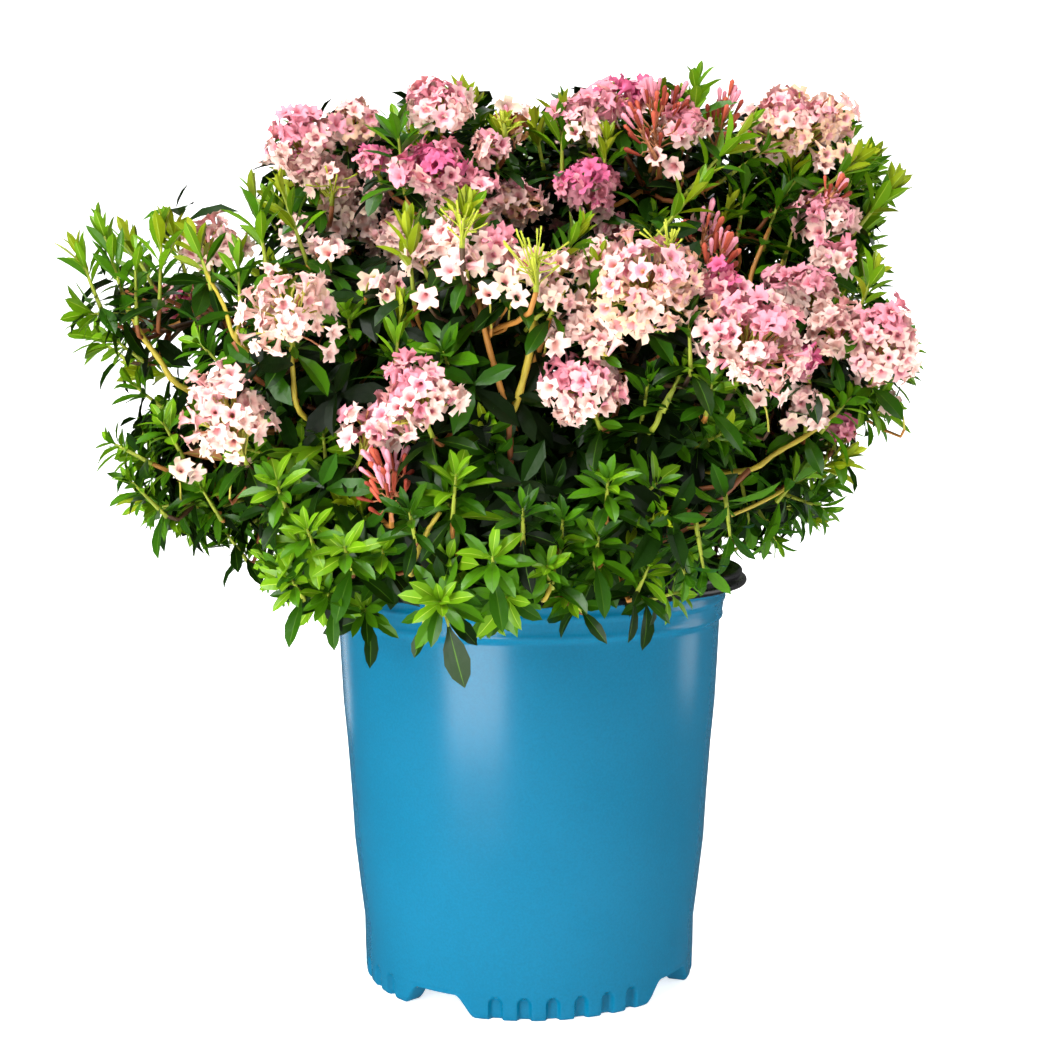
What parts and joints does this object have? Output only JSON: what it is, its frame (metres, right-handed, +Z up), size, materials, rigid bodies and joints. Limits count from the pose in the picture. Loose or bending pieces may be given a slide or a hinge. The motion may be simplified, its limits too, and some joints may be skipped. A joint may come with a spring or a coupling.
{
  "type": "potted rhododendron",
  "caption": "Dwarf rhododendron shrub in flower, growing in a tapered round pot with a rolled rim and notched feet, for a patio or garden.",
  "frame": {"origin": "on the pot's axis at the level of the ground, in the middle of the flat pad under the pot", "axes": "+Z up, +X to the right and -Y towards the viewer as the plant is seen from its front"},
  "size_m": [0.434, 0.3644, 0.4724],
  "materials": {
    "pot_blue": "satin blue plastic",
    "rim_black": "satin black plastic",
    "potting_mix": "moist crumbly potting mix",
    "bark": "thin brown bark, yellow-green when young",
    "foliage": "glossy leaves with clusters of pink flowers"
  },
  "bodies": {
    "root": {"pot_wall": "pot_blue", "pot_rim": "rim_black", "potting_mix": "potting_mix", "stem": "bark", "bough_low_left": "bark", "bough_low_front_left": "bark", "bough_low_front": "bark", "bough_low_front_right": "bark", "bough_low_right": "bark", "bough_low_back_right": "bark", "bough_low_back_left": "bark", "bough_middle_left": "bark", "bough_middle_front_left": "bark", "bough_middle_front": "bark", "bough_middle_front_right": "bark", "bough_middle_right": "bark", "bough_middle_back_right": "bark", "bough_middle_back_left": "bark", "bough_top_left": "bark", "bough_top_middle": "bark", "bough_top_middle_right": "bark", "bough_top_right": "bark", "bough_top_back": "bark", "foliage_low_left": "foliage", "foliage_low_front_left": "foliage", "foliage_low_front": "foliage", "foliage_low_front_right": "foliage", "foliage_low_right": "foliage", "foliage_low_back_right": "foliage", "foliage_low_back_left": "foliage", "foliage_middle_left": "foliage", "foliage_middle_front_left": "foliage", "foliage_middle_front": "foliage", "foliage_middle_front_right": "foliage", "foliage_middle_right": "foliage", "foliage_middle_back_right": "foliage", "foliage_middle_back_left": "foliage", "foliage_top_left": "foliage", "foliage_top_middle": "foliage", "foliage_top_middle_right": "foliage", "foliage_top_right": "foliage", "foliage_top_back": "foliage"}
  },
  "joints": []
}
